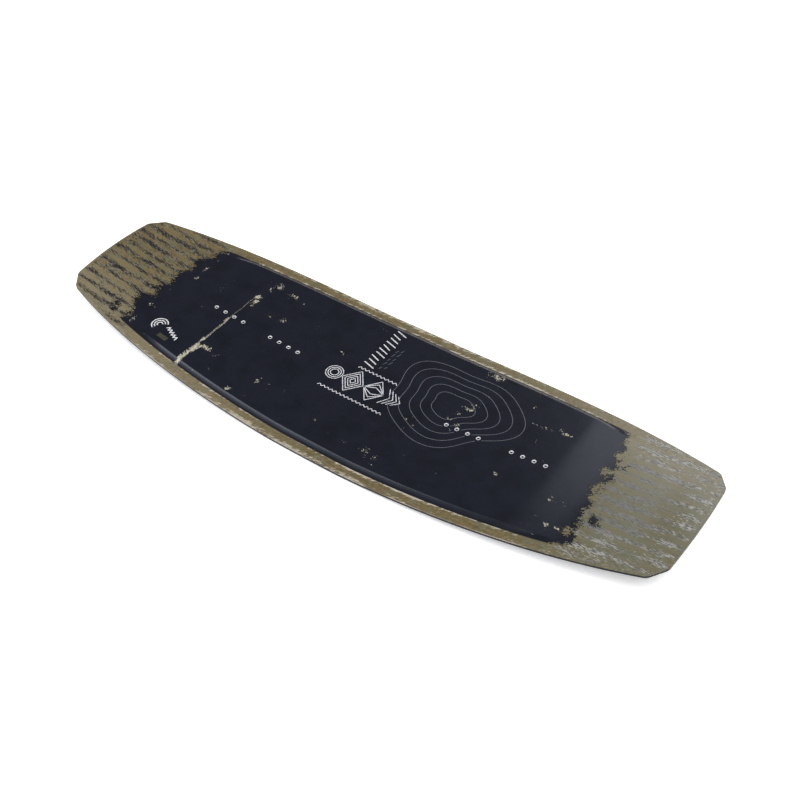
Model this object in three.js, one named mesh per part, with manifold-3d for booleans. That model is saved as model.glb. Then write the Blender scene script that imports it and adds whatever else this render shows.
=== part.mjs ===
// A wakeboard: a symmetric twin-tip board with rocker, a raised deck platform, chamfered tip
// corners, binding inserts on the centre line and four removable fins. It is laid up in layers:
// topsheet, glass, wood core between sidewalls and tip spacers, glass, base sheet.
//
// Millimetres. +X runs along the board to the nose, +Y across it to the left rail, +Z up.
// The origin is on the plane the board rests on, under its centre.

import * as THREE from 'three';
import { mergeVertices } from 'three/addons/utils/BufferGeometryUtils.js';
import Module from 'manifold-3d';

const wasm = await Module();
wasm.setup();

// ---- Outline ----
const HALF_LENGTH = 738.5;
const HALF_WIDTH = 219.7;
const TAPER_SQUARE = 0.244; // the half width loses this share of itself times s^2, s = x / HALF_LENGTH
const TAPER_FOURTH = 0.141; // and this share times s^4
const CORNER_X = 708.9; // the rail meets the chamfered corner here
const CORNER_START_X = 668; // the last station before the corner
const TIP_HALF_WIDTH = 110.9; // the chamfer meets the tip edge here
const TIP_BULGE = 4.3; // how far the tip edge bows out at its middle
const CORNER_CUT = 6; // each corner is rounded from this far along its two sides
const FIRST_BOW = 0.3; // the shares of the tip's bulge that the last two lines before it take up
const LAST_BOW = 0.6;

// ---- Rocker and tip crown ----
const FLAT_HALF = 75; // the base is flat this far either side of the centre
const TIP_RISE = 60.7;
const ROCKER_POWER = 1.42;
const CROWN_START = 640; // the tips arch across the board from here
const TIP_CROWN = 5.1;

// ---- Section ----
const EDGE_THICKNESS = 10; // base to deck rim
const PLATFORM_RISE = 6; // deck rim to raised platform
const RIM_WIDTH = 24;
const SHOULDER_WIDTH = 12; // the slope between rim and platform
const SHOULDER_HOLLOW = 0.31; // the share of the platform's rise that is reached halfway up the slope
const FADE_START = 430; // the platform sinks into the deck between these two
const FADE_END = 536;
const BEVEL_HEIGHT = 4; // the rail is cut under along its lower edge
const BEVEL_DEPTH = 6;

// ---- Layers ----
const TOPSHEET = 0.6;
const GLASS = 0.6;
const BASE_SHEET = 1.2;
const BOND = 0.05; // glue line between two layers
const CORE_HALF_LENGTH = 640;
const SIDEWALL_WIDTH = 12;
const STRIP_EDGES = [22, 66, 110]; // the joints between core strips, from the centre line out

// ---- Binding inserts ----
const INCH = 25.4;
const FOOT_X = 305.7; // centre of each foot's pattern: a 24 inch stance
const INSERT_OFFSETS = [-4.5, -3.5, -2.5, -1.5, 1.5, 2.5, 3.5, 4.5].map((n) => n * INCH);
const INSERT_LENGTH = 11.5;
const INSERT_PROUD = 0.15;
const BARREL_R = 4.75;
const FLANGE_R = 8;
const FLANGE_HEIGHT = 2.5;
const THREAD_R = 2.5; // M6, drawn at its tapping size
const THREAD_DEPTH = 9.5;
const BLOCK_START = 171; // the reinforcing block runs between these two
const BLOCK_END = 440;

// ---- Fins ----
const FIN_X = 592.5;
const FIN_Y = 128;
const FIN_LENGTH = 90;
const FIN_DEPTH = 25;
const FIN_THICKNESS = 5;
const BLADE_HALF = 29; // half the blade's length at its root, which stands between the screws
const FOOT_WIDTH = 16; // the fin's mounting foot
const FOOT_HEIGHT = 3.5;
const SCREW_OFFSET = 35;
const SCREW_R = 1.8;
const SCREW_HEAD_R = 3.6;
const SCREW_HEAD_HEIGHT = 1.8;
const SCREW_REACH = 4.6; // how far the screw goes up past the base sheet's face
const FIN_INSERT_R = 3.6;
const FIN_INSERT_FLANGE_R = 5.5;
const FIN_INSERT_LENGTH = 7;
const FIN_INSERT_FLANGE_HEIGHT = 1.6;
const SEAT_GAP = 0.1; // between the fin's foot and the base

const CUT_GAP = 0.3; // clearance round a piece that sits in a cut
const CUT_PAST = 3; // how far a cut runs on past the face that it opens in
const ROUND_STEPS = 10;

// ---- Looks ----
const paint = (color, roughness, metalness = 0) =>
  new THREE.MeshStandardMaterial({ color, roughness, metalness });
const MATERIALS = {
  topsheet: paint(0x24242c, 0.28),
  glass: paint(0xb9c4b0, 0.35),
  core: paint(0xd8bd8c, 0.7),
  block: paint(0xa98a5e, 0.65),
  sidewall: paint(0x17171b, 0.35),
  spacer: paint(0x2a2a2e, 0.5),
  base: paint(0x1b1b1f, 0.4),
  insert: paint(0xc9c9cc, 0.3, 1),
  brass: paint(0xc2a35a, 0.35, 1),
  fin: paint(0x202024, 0.45),
  screw: paint(0xb4b4b8, 0.3, 1),
};

const board = new THREE.Group();

function add(name, geometry, material) {
  const mesh = new THREE.Mesh(geometry, material);
  mesh.name = name;
  board.add(mesh);
  return mesh;
}

// ---- Plan shape ----

function railHalfWidth(x) {
  const s = Math.abs(x) / HALF_LENGTH;
  return HALF_WIDTH * (1 - TAPER_SQUARE * s ** 2 - TAPER_FOURTH * s ** 4);
}

// The rounded corner between two straight runs: its start, middle and end.
function roundedCorner(before, corner, after) {
  const toward = (p) => corner.clone().add(p.clone().sub(corner).setLength(CORNER_CUT));
  const curve = new THREE.QuadraticBezierCurve(toward(before), corner, toward(after));
  return curve.getPoints(2);
}

// A station is one line of the plan across the board: x on the centre line, the edge's own point,
// and how far the station line bows back towards the middle of the board at the edge.
function straightStation(x) {
  return { x, edgeX: x, edgeY: railHalfWidth(x), bow: 0 };
}

function cornerStations() {
  const rail = new THREE.Vector2(CORNER_X, railHalfWidth(CORNER_X));
  const tip = new THREE.Vector2(HALF_LENGTH - TIP_BULGE, TIP_HALF_WIDTH);
  const alongRail = new THREE.Vector2(CORNER_START_X, railHalfWidth(CORNER_START_X));
  const alongTip = new THREE.Vector2(HALF_LENGTH, 0);
  const [start, firstMiddle, firstEnd] = roundedCorner(alongRail, rail, tip);
  const [secondStart, secondMiddle] = roundedCorner(rail, tip, alongTip);
  const bow = (share) => TIP_BULGE * share;
  return [
    { x: start.x, edgeX: start.x, edgeY: start.y, bow: 0 },
    { x: firstMiddle.x, edgeX: firstMiddle.x, edgeY: firstMiddle.y, bow: 0 },
    { x: firstEnd.x + bow(FIRST_BOW), edgeX: firstEnd.x, edgeY: firstEnd.y, bow: bow(FIRST_BOW) },
    { x: secondStart.x + bow(LAST_BOW), edgeX: secondStart.x, edgeY: secondStart.y, bow: bow(LAST_BOW) },
    { x: HALF_LENGTH, edgeX: secondMiddle.x, edgeY: secondMiddle.y, bow: TIP_BULGE },
  ];
}

const MIDDLE_XS = [0, FLAT_HALF, 127, 179, 229.5, 280, 331.4, 382, 432, 470, 508, 545];
const STRAIGHT_XS = [...MIDDLE_XS, CORE_HALF_LENGTH, CORNER_START_X];
const HALF_STATIONS = [...STRAIGHT_XS.map(straightStation), ...cornerStations()];
const mirrored = (s) => ({ ...s, x: -s.x, edgeX: -s.edgeX });
const STATIONS = [...HALF_STATIONS.slice(1).reverse().map(mirrored), ...HALF_STATIONS];

// ---- Heights ----

// Every surface is straight between stations, so a formula is read at the stations only.
function betweenStations(formula) {
  const xs = HALF_STATIONS.map((s) => s.x);
  const values = xs.map(formula);
  return (x) => {
    const distance = Math.min(Math.abs(x), HALF_LENGTH);
    const i = Math.min(xs.findLastIndex((stationX) => stationX <= distance), xs.length - 2);
    const t = (distance - xs[i]) / (xs[i + 1] - xs[i]);
    return THREE.MathUtils.lerp(values[i], values[i + 1], t);
  };
}

const rockerAt = betweenStations((x) => {
  const t = Math.max(0, x - FLAT_HALF) / (HALF_LENGTH - FLAT_HALF);
  return TIP_RISE * t ** ROCKER_POWER;
});
const platformAt = betweenStations(
  (x) => PLATFORM_RISE * (1 - THREE.MathUtils.smoothstep(x, FADE_START, FADE_END)),
);

function crownAt(x, y) {
  const t = Math.max(0, Math.abs(x) - CROWN_START) / (HALF_LENGTH - CROWN_START);
  return TIP_CROWN * t * (1 - (y / railHalfWidth(x)) ** 2);
}

const baseZ = (x, y) => rockerAt(x) + crownAt(x, y);
const rimZ = (x, y) => baseZ(x, y) + EDGE_THICKNESS;
const deckZ = (x, y, share) => rimZ(x, y) + share * platformAt(x);
const bevelInset = (height) => BEVEL_DEPTH * Math.max(0, 1 - height / BEVEL_HEIGHT);

// ---- Building solids ----

// The triangles of a flat end cap, given as a ring of points; facing is +1 towards +X, -1 towards -X.
function capTriangles(ring, facing) {
  const flat = ring.map((p) => new THREE.Vector2(p[1], p[2]));
  return THREE.ShapeUtils.triangulateShape(flat, []).map(([a, b, c]) => {
    const area = THREE.ShapeUtils.area([flat[a], flat[b], flat[c]]);
    return Math.sign(area) === facing ? [a, b, c] : [a, c, b];
  });
}

// The two triangles of a side face. It is split from its corner nearest the board's centre to its
// farthest one, so that the faces of two layers that lie on each other bend along the same lines.
function splitFace(points, a, b, c, d) {
  const reach = (i) => Math.hypot(points[i][0], points[i][1]);
  const outward = Math.abs(reach(d) - reach(a)) > Math.abs(reach(c) - reach(b));
  return outward ? [[a, c, d], [a, d, b]] : [[a, c, b], [b, c, d]];
}

// A solid through rings of equal length, in order of x. Each ring runs along the top towards +Y
// and back along the bottom.
function loft(rings) {
  const count = rings[0].length;
  const points = rings.flat();
  const faces = [];
  for (let i = 0; i + 1 < rings.length; i++) {
    for (let k = 0; k < count; k++) {
      const a = i * count + k;
      const b = i * count + ((k + 1) % count);
      faces.push(...splitFace(points, a, b, a + count, b + count));
    }
  }
  const last = (rings.length - 1) * count;
  faces.push(...capTriangles(rings[0], -1));
  faces.push(...capTriangles(rings.at(-1), 1).map((face) => face.map((i) => i + last)));
  const geometry = new THREE.BufferGeometry();
  geometry.setAttribute('position', new THREE.Float32BufferAttribute(points.flat(), 3));
  geometry.setIndex(faces.flat());
  return geometry;
}

function mirrorY(geometry) {
  const copy = geometry.clone().scale(1, -1, 1);
  const index = copy.getIndex();
  for (let i = 0; i < index.count; i += 3) {
    const second = index.getX(i + 1);
    index.setX(i + 1, index.getX(i + 2));
    index.setX(i + 2, second);
  }
  return copy;
}

function toSolid(geometry) {
  const bare = geometry.clone();
  bare.deleteAttribute('normal');
  bare.deleteAttribute('uv');
  const merged = mergeVertices(bare, 1e-4);
  return new wasm.Manifold(
    new wasm.Mesh({
      numProp: 3,
      vertProperties: new Float32Array(merged.getAttribute('position').array),
      triVerts: new Uint32Array(merged.getIndex().array),
    }),
  );
}

function fromSolid(solid) {
  const mesh = solid.getMesh();
  const geometry = new THREE.BufferGeometry();
  geometry.setAttribute('position', new THREE.Float32BufferAttribute(mesh.vertProperties, 3));
  geometry.setIndex(Array.from(mesh.triVerts));
  return geometry;
}

function cut(geometry, cutters) {
  const solid = cutters.reduce((rest, cutter) => rest.subtract(toSolid(cutter)), toSolid(geometry));
  return fromSolid(solid);
}

// A turned piece about its own Z axis, from a closed profile of [radius, height] points.
function turned(profile, steps = ROUND_STEPS) {
  const points = profile.map(([r, z]) => new THREE.Vector2(r, z));
  return new THREE.LatheGeometry([...points, points[0]], steps).rotateX(Math.PI / 2);
}

// ---- Full-width layers ----

// The lines along the board, from its edge in: how far in each one runs, and the share of the
// platform's rise that the deck has there.
const HALF_LINES = [
  { fromEdge: 0, share: 0 },
  { fromEdge: RIM_WIDTH, share: 0 },
  { fromEdge: RIM_WIDTH + SHOULDER_WIDTH / 2, share: SHOULDER_HOLLOW },
  { fromEdge: RIM_WIDTH + SHOULDER_WIDTH, share: 1 },
];
const LINES = [
  ...HALF_LINES.map((line) => ({ ...line, side: -1 })),
  { fromEdge: 0, share: 1, side: 0 },
  ...HALF_LINES.map((line) => ({ ...line, side: 1 })).reverse(),
];

// The plan point where a line crosses a station; inset draws the outer edge in.
function planPoint(station, line, inset) {
  const onEdge = line.side !== 0 && line.fromEdge === 0;
  const y = line.side * (station.edgeY - (onEdge ? inset : line.fromEdge));
  const reach = Math.abs(station.x) - station.bow * (y / TIP_HALF_WIDTH) ** 2;
  const outward = THREE.MathUtils.smoothstep(Math.abs(station.x), CORNER_START_X, HALF_LENGTH);
  const x = (onEdge ? Math.abs(station.edgeX) : reach) - inset * outward;
  return [Math.sign(station.x) * x, y];
}

function layerRing(station, top, bottom) {
  const row = ({ surface, offset, inset }) =>
    LINES.map((line) => {
      const [x, y] = planPoint(station, line, inset);
      return [x, y, surface(x, y, line.share) + offset];
    });
  return [...row(top), ...row(bottom).reverse()];
}

const fromDeck = (depth) => ({ surface: deckZ, offset: -depth, inset: 0 });
const fromBase = (height) => ({ surface: baseZ, offset: height, inset: bevelInset(height) });

const UPPER_GLASS_TOP = TOPSHEET + BOND;
const CORE_TOP = UPPER_GLASS_TOP + GLASS + BOND;
const LOWER_GLASS_BOTTOM = BASE_SHEET + BOND;
const CORE_BOTTOM = LOWER_GLASS_BOTTOM + GLASS + BOND;

function layer(top, bottom, stations = STATIONS) {
  return loft(stations.map((station) => layerRing(station, top, bottom)));
}

// ---- Core ----

// Stations of a piece that runs from one x to another, with its own two ends.
function stationsBetween(from, to) {
  const inside = STATIONS.filter((s) => s.x > from + 1 && s.x < to - 1);
  return [straightStation(from), ...inside, straightStation(to)];
}

// A core strip between two fixed lines under the flat of the platform.
function innerStrip(from, to, yFrom, yTo) {
  const rings = stationsBetween(from, to).map(({ x }) => {
    const top = deckZ(x, 0, 1) - CORE_TOP;
    const bottom = baseZ(x, 0) + CORE_BOTTOM;
    return [[x, yFrom, top], [x, yTo, top], [x, yTo, bottom], [x, yFrom, bottom]];
  });
  return loft(rings);
}

// The left outer strip, which carries the shoulder and reaches the sidewall.
function outerStrip(yFrom) {
  const reach = CORE_HALF_LENGTH - BOND;
  const rings = stationsBetween(-reach, reach).map((station) => {
    const { x, edgeY } = station;
    const platform = deckZ(x, 0, 1) - CORE_TOP;
    const slope = HALF_LINES.slice(1).reverse();
    const bottom = baseZ(x, 0) + CORE_BOTTOM;
    const yTo = edgeY - SIDEWALL_WIDTH - BOND;
    return [
      [x, yFrom, platform],
      ...slope.map(({ fromEdge, share }) => [x, edgeY - fromEdge, deckZ(x, 0, share) - CORE_TOP]),
      [x, yTo, rimZ(x, 0) - CORE_TOP],
      [x, yTo, bottom],
      [x, yFrom, bottom],
    ];
  });
  return loft(rings);
}

function leftSidewall() {
  const reach = CORE_HALF_LENGTH - BOND;
  const rings = stationsBetween(-reach, reach).map(({ x, edgeY }) => {
    const top = rimZ(x, 0) - CORE_TOP;
    const bevel = baseZ(x, 0) + BEVEL_HEIGHT;
    const bottom = baseZ(x, 0) + CORE_BOTTOM;
    return [
      [x, edgeY - SIDEWALL_WIDTH, top],
      [x, edgeY, top],
      [x, edgeY, bevel],
      [x, edgeY - bevelInset(CORE_BOTTOM), bottom],
      [x, edgeY - SIDEWALL_WIDTH, bottom],
    ];
  });
  return loft(rings);
}

function noseSpacer() {
  const stations = HALF_STATIONS.filter((station) => station.x >= CORE_HALF_LENGTH);
  return layer(fromDeck(CORE_TOP), fromBase(CORE_BOTTOM), stations);
}

// ---- Pieces set square to the deck or the base ----

// The place and tilt of a point on a surface: its Z axis stands square to the surface.
function seat(x, y, z) {
  const step = 1;
  const slope = (rockerAt(x + step) - rockerAt(x - step)) / (2 * step);
  const tilt = new THREE.Matrix4().makeRotationY(-Math.atan(slope));
  return new THREE.Matrix4().makeTranslation(x, y, z).multiply(tilt);
}

const placed = (geometry, place) => geometry.clone().applyMatrix4(place);

const ENDS = [['nose', 1], ['tail', -1]];
const SIDES = [['left', 1], ['right', -1]];

const bindingSeats = ENDS.flatMap(([end, direction]) =>
  INSERT_OFFSETS.map((offset, i) => {
    const x = direction * (FOOT_X + offset);
    const place = seat(x, 0, deckZ(x, 0, 1));
    return { name: `binding_insert_${end}_${i + 1}`, end, place };
  }),
);

const finSeats = ENDS.flatMap(([end, direction]) =>
  SIDES.map(([side, hand]) => {
    const x = direction * FIN_X;
    const y = hand * FIN_Y;
    return { name: `${end}_${side}`, direction, hand, place: seat(x, y, baseZ(x, y)) };
  }),
);

const screwSeats = finSeats.flatMap(({ name, direction, hand, place }) =>
  [['inner', -1], ['outer', 1]].map(([which, along]) => {
    const shift = new THREE.Matrix4().makeTranslation(along * direction * SCREW_OFFSET, 0, 0);
    return { name: `${name}_${which}`, hand, place: place.clone().multiply(shift) };
  }),
);

// A blind threaded insert, flanged at its foot so that it can't pull out of the core.
function bindingInsert() {
  const top = INSERT_PROUD;
  const foot = top - INSERT_LENGTH;
  return turned([
    [0, foot],
    [FLANGE_R, foot],
    [FLANGE_R, foot + FLANGE_HEIGHT],
    [BARREL_R, foot + FLANGE_HEIGHT],
    [BARREL_R, top],
    [THREAD_R, top],
    [THREAD_R, top - THREAD_DEPTH],
    [0, top - THREAD_DEPTH],
  ]);
}

function bindingInsertCutter() {
  const foot = INSERT_PROUD - INSERT_LENGTH - CUT_GAP;
  const shelf = foot + FLANGE_HEIGHT + 2 * CUT_GAP;
  return turned([
    [0, foot],
    [FLANGE_R + CUT_GAP, foot],
    [FLANGE_R + CUT_GAP, shelf],
    [BARREL_R + CUT_GAP, shelf],
    [BARREL_R + CUT_GAP, CUT_PAST],
    [0, CUT_PAST],
  ]);
}

function finInsert() {
  const shelf = FIN_INSERT_LENGTH - FIN_INSERT_FLANGE_HEIGHT;
  const bore = SCREW_R + CUT_GAP;
  const boreEnd = SCREW_REACH + CUT_GAP;
  return turned([
    [0, boreEnd],
    [bore, boreEnd],
    [bore, 0],
    [FIN_INSERT_R, 0],
    [FIN_INSERT_R, shelf],
    [FIN_INSERT_FLANGE_R, shelf],
    [FIN_INSERT_FLANGE_R, FIN_INSERT_LENGTH],
    [0, FIN_INSERT_LENGTH],
  ]);
}

function finInsertCutter() {
  const shelf = FIN_INSERT_LENGTH - FIN_INSERT_FLANGE_HEIGHT - CUT_GAP;
  return turned([
    [0, -CUT_PAST],
    [FIN_INSERT_R + CUT_GAP, -CUT_PAST],
    [FIN_INSERT_R + CUT_GAP, shelf],
    [FIN_INSERT_FLANGE_R + CUT_GAP, shelf],
    [FIN_INSERT_FLANGE_R + CUT_GAP, FIN_INSERT_LENGTH + CUT_GAP],
    [0, FIN_INSERT_LENGTH + CUT_GAP],
  ]);
}

const FOOT_FACE = -SEAT_GAP - FOOT_HEIGHT; // the underside of a fin's foot, below the base

// The screw hangs head down under the fin's foot. With a clearance it is the cut that holds it.
function finScrew(clearance = 0) {
  const foot = FOOT_FACE;
  const head = clearance ? foot - CUT_PAST : foot;
  const neck = foot + SCREW_HEAD_HEIGHT + clearance;
  return turned([
    [0, head],
    [SCREW_HEAD_R + clearance, head],
    [SCREW_HEAD_R + clearance, foot],
    [SCREW_R + clearance, neck],
    [SCREW_R + clearance, SCREW_REACH],
    [0, SCREW_REACH],
  ]);
}

// One fin: a raked blade under a flat mounting foot, cut for two countersunk screws.
function fin(direction) {
  const root = FOOT_FACE + FOOT_HEIGHT / 2;
  const tip = FOOT_FACE - FIN_DEPTH;
  const bend = tip + 0.1 * FIN_DEPTH;
  const outline = new THREE.Shape();
  outline.moveTo(-BLADE_HALF, root);
  outline.quadraticCurveTo(-0.75 * BLADE_HALF, bend, -0.2 * BLADE_HALF, tip);
  outline.lineTo(0.45 * BLADE_HALF, tip);
  outline.quadraticCurveTo(0.85 * BLADE_HALF, bend, BLADE_HALF, root);
  const blade = new THREE.ExtrudeGeometry(outline, {
    depth: FIN_THICKNESS,
    bevelEnabled: false,
    curveSegments: 5,
  });
  blade.translate(0, 0, -FIN_THICKNESS / 2).rotateX(Math.PI / 2);
  const foot = new THREE.BoxGeometry(FIN_LENGTH, FOOT_WIDTH, FOOT_HEIGHT);
  foot.translate(0, 0, -SEAT_GAP - FOOT_HEIGHT / 2);
  const screws = [-SCREW_OFFSET, SCREW_OFFSET].map((x) => finScrew(CUT_GAP).translate(x, 0, 0));
  const whole = fromSolid(toSolid(foot).add(toSolid(blade)));
  const shape = cut(whole, screws);
  return direction > 0 ? shape : shape.rotateZ(Math.PI);
}

// ---- Assembly ----

const bindingCutter = ({ place }) => placed(bindingInsertCutter(), place);
const bindingCutters = bindingSeats.map(bindingCutter);
const finCutter = ({ place }) => placed(finInsertCutter(), place);
const finCutters = screwSeats.map(finCutter);
const leftFinCutters = screwSeats.filter(({ hand }) => hand > 0).map(finCutter);

add('topsheet', cut(layer(fromDeck(0), fromDeck(TOPSHEET)), bindingCutters), MATERIALS.topsheet);
add(
  'glass_upper',
  cut(layer(fromDeck(UPPER_GLASS_TOP), fromDeck(UPPER_GLASS_TOP + GLASS)), bindingCutters),
  MATERIALS.glass,
);
add(
  'glass_lower',
  cut(layer(fromBase(LOWER_GLASS_BOTTOM + GLASS), fromBase(LOWER_GLASS_BOTTOM)), finCutters),
  MATERIALS.glass,
);
add('base_sheet', cut(layer(fromBase(BASE_SHEET), fromBase(0)), finCutters), MATERIALS.base);

const coreReach = CORE_HALF_LENGTH - BOND;
const [centreEdge, middleEdge, outerEdge] = STRIP_EDGES;
const middleStrip = innerStrip(-coreReach, coreReach, centreEdge + BOND, middleEdge);
const sideStrip = innerStrip(-coreReach, coreReach, middleEdge + BOND, outerEdge);
const railStrip = cut(outerStrip(outerEdge + BOND), leftFinCutters);
const strips = { core_inner: middleStrip, core_middle: sideStrip, core_outer: railStrip };
for (const [name, strip] of Object.entries(strips)) {
  add(`${name}_left`, strip, MATERIALS.core);
  add(`${name}_right`, mirrorY(strip), MATERIALS.core);
}

const centreStrip = (from, to) => innerStrip(from, to, -centreEdge, centreEdge);
add('core_centre', centreStrip(-BLOCK_START + BOND, BLOCK_START - BOND), MATERIALS.core);
for (const [end, direction] of ENDS) {
  const span = (from, to) => (direction > 0 ? centreStrip(from, to) : centreStrip(-to, -from));
  const cutters = bindingSeats.filter((insert) => insert.end === end).map(bindingCutter);
  add(`insert_block_${end}`, cut(span(BLOCK_START, BLOCK_END), cutters), MATERIALS.block);
  add(`core_centre_${end}`, span(BLOCK_END + BOND, coreReach), MATERIALS.core);
}

add('sidewall_left', leftSidewall(), MATERIALS.sidewall);
add('sidewall_right', mirrorY(leftSidewall()), MATERIALS.sidewall);
add('tip_spacer_nose', noseSpacer(), MATERIALS.spacer);
add('tip_spacer_tail', noseSpacer().rotateZ(Math.PI), MATERIALS.spacer);

for (const { name, place } of bindingSeats) {
  add(name, placed(fromSolid(toSolid(bindingInsert())), place), MATERIALS.insert);
}
for (const { name, direction, place } of finSeats) {
  add(`fin_${name}`, placed(fin(direction), place), MATERIALS.fin);
}
for (const { name, place } of screwSeats) {
  add(`fin_insert_${name}`, placed(fromSolid(toSolid(finInsert())), place), MATERIALS.brass);
  add(`fin_screw_${name}`, placed(fromSolid(toSolid(finScrew())), place), MATERIALS.screw);
}

export default board;
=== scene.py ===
"""A wakeboard lying on a pale floor, seen from above: dark worn deck print on an olive board.

Metres, in the CAD part's frame: +X runs to the nose, +Y to the left rail, +Z up. The board's shape
follows the same formulas as the CAD part, read on a much finer grid; threads, edges, the deck's
print, its wear and the finish of every layer are made here.
"""

import math
from functools import partialmethod

import bmesh
import bpy
import numpy as np
from mathutils import Matrix, Vector


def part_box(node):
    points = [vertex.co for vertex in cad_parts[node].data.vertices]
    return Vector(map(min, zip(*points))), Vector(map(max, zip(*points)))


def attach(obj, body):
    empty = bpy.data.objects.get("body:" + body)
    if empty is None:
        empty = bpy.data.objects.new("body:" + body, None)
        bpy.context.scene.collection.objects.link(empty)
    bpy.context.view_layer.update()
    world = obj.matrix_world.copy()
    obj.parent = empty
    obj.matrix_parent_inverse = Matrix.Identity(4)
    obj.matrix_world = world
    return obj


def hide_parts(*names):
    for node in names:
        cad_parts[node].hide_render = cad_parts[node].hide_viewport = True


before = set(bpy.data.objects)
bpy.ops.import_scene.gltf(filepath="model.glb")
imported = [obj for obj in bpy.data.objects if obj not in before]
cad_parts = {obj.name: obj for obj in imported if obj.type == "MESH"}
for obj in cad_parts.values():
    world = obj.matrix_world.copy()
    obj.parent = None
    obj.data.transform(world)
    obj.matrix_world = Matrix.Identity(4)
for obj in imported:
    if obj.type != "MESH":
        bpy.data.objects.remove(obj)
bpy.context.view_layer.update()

MM = 0.001
INCH = 25.4 * MM

# ---- Outline ----
HALF_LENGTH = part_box("topsheet")[1].x
HALF_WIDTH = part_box("topsheet")[1].y
TAPER_SQUARE = 0.244  # the half width loses this share of itself times s^2, s = x / HALF_LENGTH
TAPER_FOURTH = 0.141  # and this share times s^4
CORNER_X = 708.9 * MM  # the rail meets the chamfered corner here
TIP_HALF_WIDTH = 110.9 * MM  # the chamfer meets the tip edge here
TIP_BULGE = 4.3 * MM  # how far the tip edge bows out at its middle
CORNER_CUT = 6 * MM  # each corner is rounded from this far along its two sides
CORNER_STEPS = 10
CHAMFER_STEPS = 7
TIP_STEPS = 29

# ---- Rocker and tip crown ----
FLAT_HALF = 75 * MM
TIP_RISE = 60.7 * MM
ROCKER_POWER = 1.42
CROWN_START = 640 * MM
TIP_CROWN = 5.1 * MM

# ---- Section ----
EDGE_THICKNESS = 10 * MM  # base to deck rim
PLATFORM_RISE = 6 * MM  # deck rim to raised platform
RIM_WIDTH = 24 * MM
SHOULDER_WIDTH = 12 * MM
SHOULDER_POWER = 1.7  # above 1, so that the shoulder is hollow
FADE_START = 430 * MM  # the platform sinks into the deck between these two
FADE_END = 536 * MM
BEVEL_HEIGHT = 4 * MM  # the edge is undercut below this height
BEVEL_DEPTH = 5.6 * MM  # and ends this far inside the rail
SHEET = 0.6 * MM  # thickness of the topsheet
BASE_SHEET = 1.2 * MM
SIDEWALL_END = 640 * MM
SIDEWALL_WIDTH = 12 * MM
LIP_RADIUS = 0.5 * MM  # rounding of the topsheet's outer edge
GROOVE_DEPTH = 0.45 * MM  # the line where rim and shoulder meet
GROOVE_HALF = 0.6 * MM

# ---- Binding inserts: two feet of eight on the centre line ----


def centre_x(node):
    low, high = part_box(node)
    return (low.x + high.x) / 2


INSERTS = [f"insert_{end}_{i}" for end in ("nose", "tail") for i in range(1, 9)]
INSERT_X = {name: centre_x(f"binding_{name}") for name in INSERTS}

# ---- Deck grid: the cells are an eighth of the insert pitch, so that the holes fall on its lines ----
CELL = INCH / 8
FOOT_X = (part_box("binding_insert_nose_1")[0].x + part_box("binding_insert_nose_8")[1].x) / 2
HOLE_CELLS = 2  # each hole is cut from a block this many cells either side of its centre
HOLE_RADIUS = 4.95 * MM
HOLE_STEPS = 3  # edges of the hole for each edge of its block
# Lines along the board, in from the rail: close together at its lip, the groove and the shoulder.
EDGE_OFFSETS = np.array(
    [0, 0.1, 0.25, 0.5, 1, *range(3, 22, 3), 23, 23.5, 23.85, 24.25, 24.7, 25.5]
    + [27, 28.5, 30, 31.5, 33, 34.3, 35.3, 35.8, 36.2, 36.8, 38.5, 41]
) * MM
INNER_LINES = 40  # evenly spaced, from there to the holes' blocks
BASE_OFFSETS = np.array([0, 0.3, 0.8, 1.6, 3, 8, 20]) * MM
BASE_INNER_LINES = 24
LINE_GAP = 1e-7  # keeps lines apart that would meet in the edge
SHARP_ANGLE = math.radians(35)  # a sharper bend shades as an edge
DECK_SHARP_ANGLE = math.radians(28)
INSERT_SHARP_ANGLE = math.radians(40)


def smoothstep(low, high, value):
    t = np.clip((value - low) / (high - low), 0, 1)
    return t * t * (3 - 2 * t)


# ---- Plan shape ----


def rail_half_width(x):
    s = np.abs(x) / HALF_LENGTH
    return HALF_WIDTH * (1 - TAPER_SQUARE * s**2 - TAPER_FOURTH * s**4)


def tip_x(y):
    return HALF_LENGTH - TIP_BULGE * (y / TIP_HALF_WIDTH) ** 2


def rounded_corner(before, corner, after):
    """Points of the rounding between two runs that meet in a corner."""
    start = corner + CORNER_CUT * (before - corner) / np.linalg.norm(before - corner)
    end = corner + CORNER_CUT * (after - corner) / np.linalg.norm(after - corner)
    t = np.linspace(0, 1, CORNER_STEPS + 1)[:, None]
    return (1 - t) ** 2 * start + 2 * t * (1 - t) * corner + t**2 * end


def quarter_outline(rail_xs):
    """The outline from the first of rail_xs round the left nose corner to the centre of the tip.

    Also the place in it of the last point that a station line starts from: the middle of the
    corner's second bend. The points after it make the tip edge.
    """
    rail_corner = np.array([CORNER_X, rail_half_width(CORNER_X)])
    tip_corner = np.array([tip_x(TIP_HALF_WIDTH), TIP_HALF_WIDTH])
    rail_point = CORNER_X - 2 * CORNER_CUT
    tip_point = TIP_HALF_WIDTH - 2 * CORNER_CUT
    first = rounded_corner(np.array([rail_point, rail_half_width(rail_point)]), rail_corner, tip_corner)
    second = rounded_corner(rail_corner, tip_corner, np.array([tip_x(tip_point), tip_point]))
    chamfer = np.linspace(first[-1], second[0], CHAMFER_STEPS + 1)[1:-1]
    rail_xs = rail_xs[rail_xs < first[0, 0] - CELL / 2]
    rail = np.column_stack([rail_xs, rail_half_width(rail_xs)])
    edge_y = np.linspace(second[-1, 1], 0, TIP_STEPS + 1)[1:]
    edge = np.column_stack([tip_x(edge_y), edge_y])
    outline = np.vstack([rail, first, chamfer, second, edge])
    return outline, len(rail), len(rail) + len(first) + len(chamfer) + len(second) // 2


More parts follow.
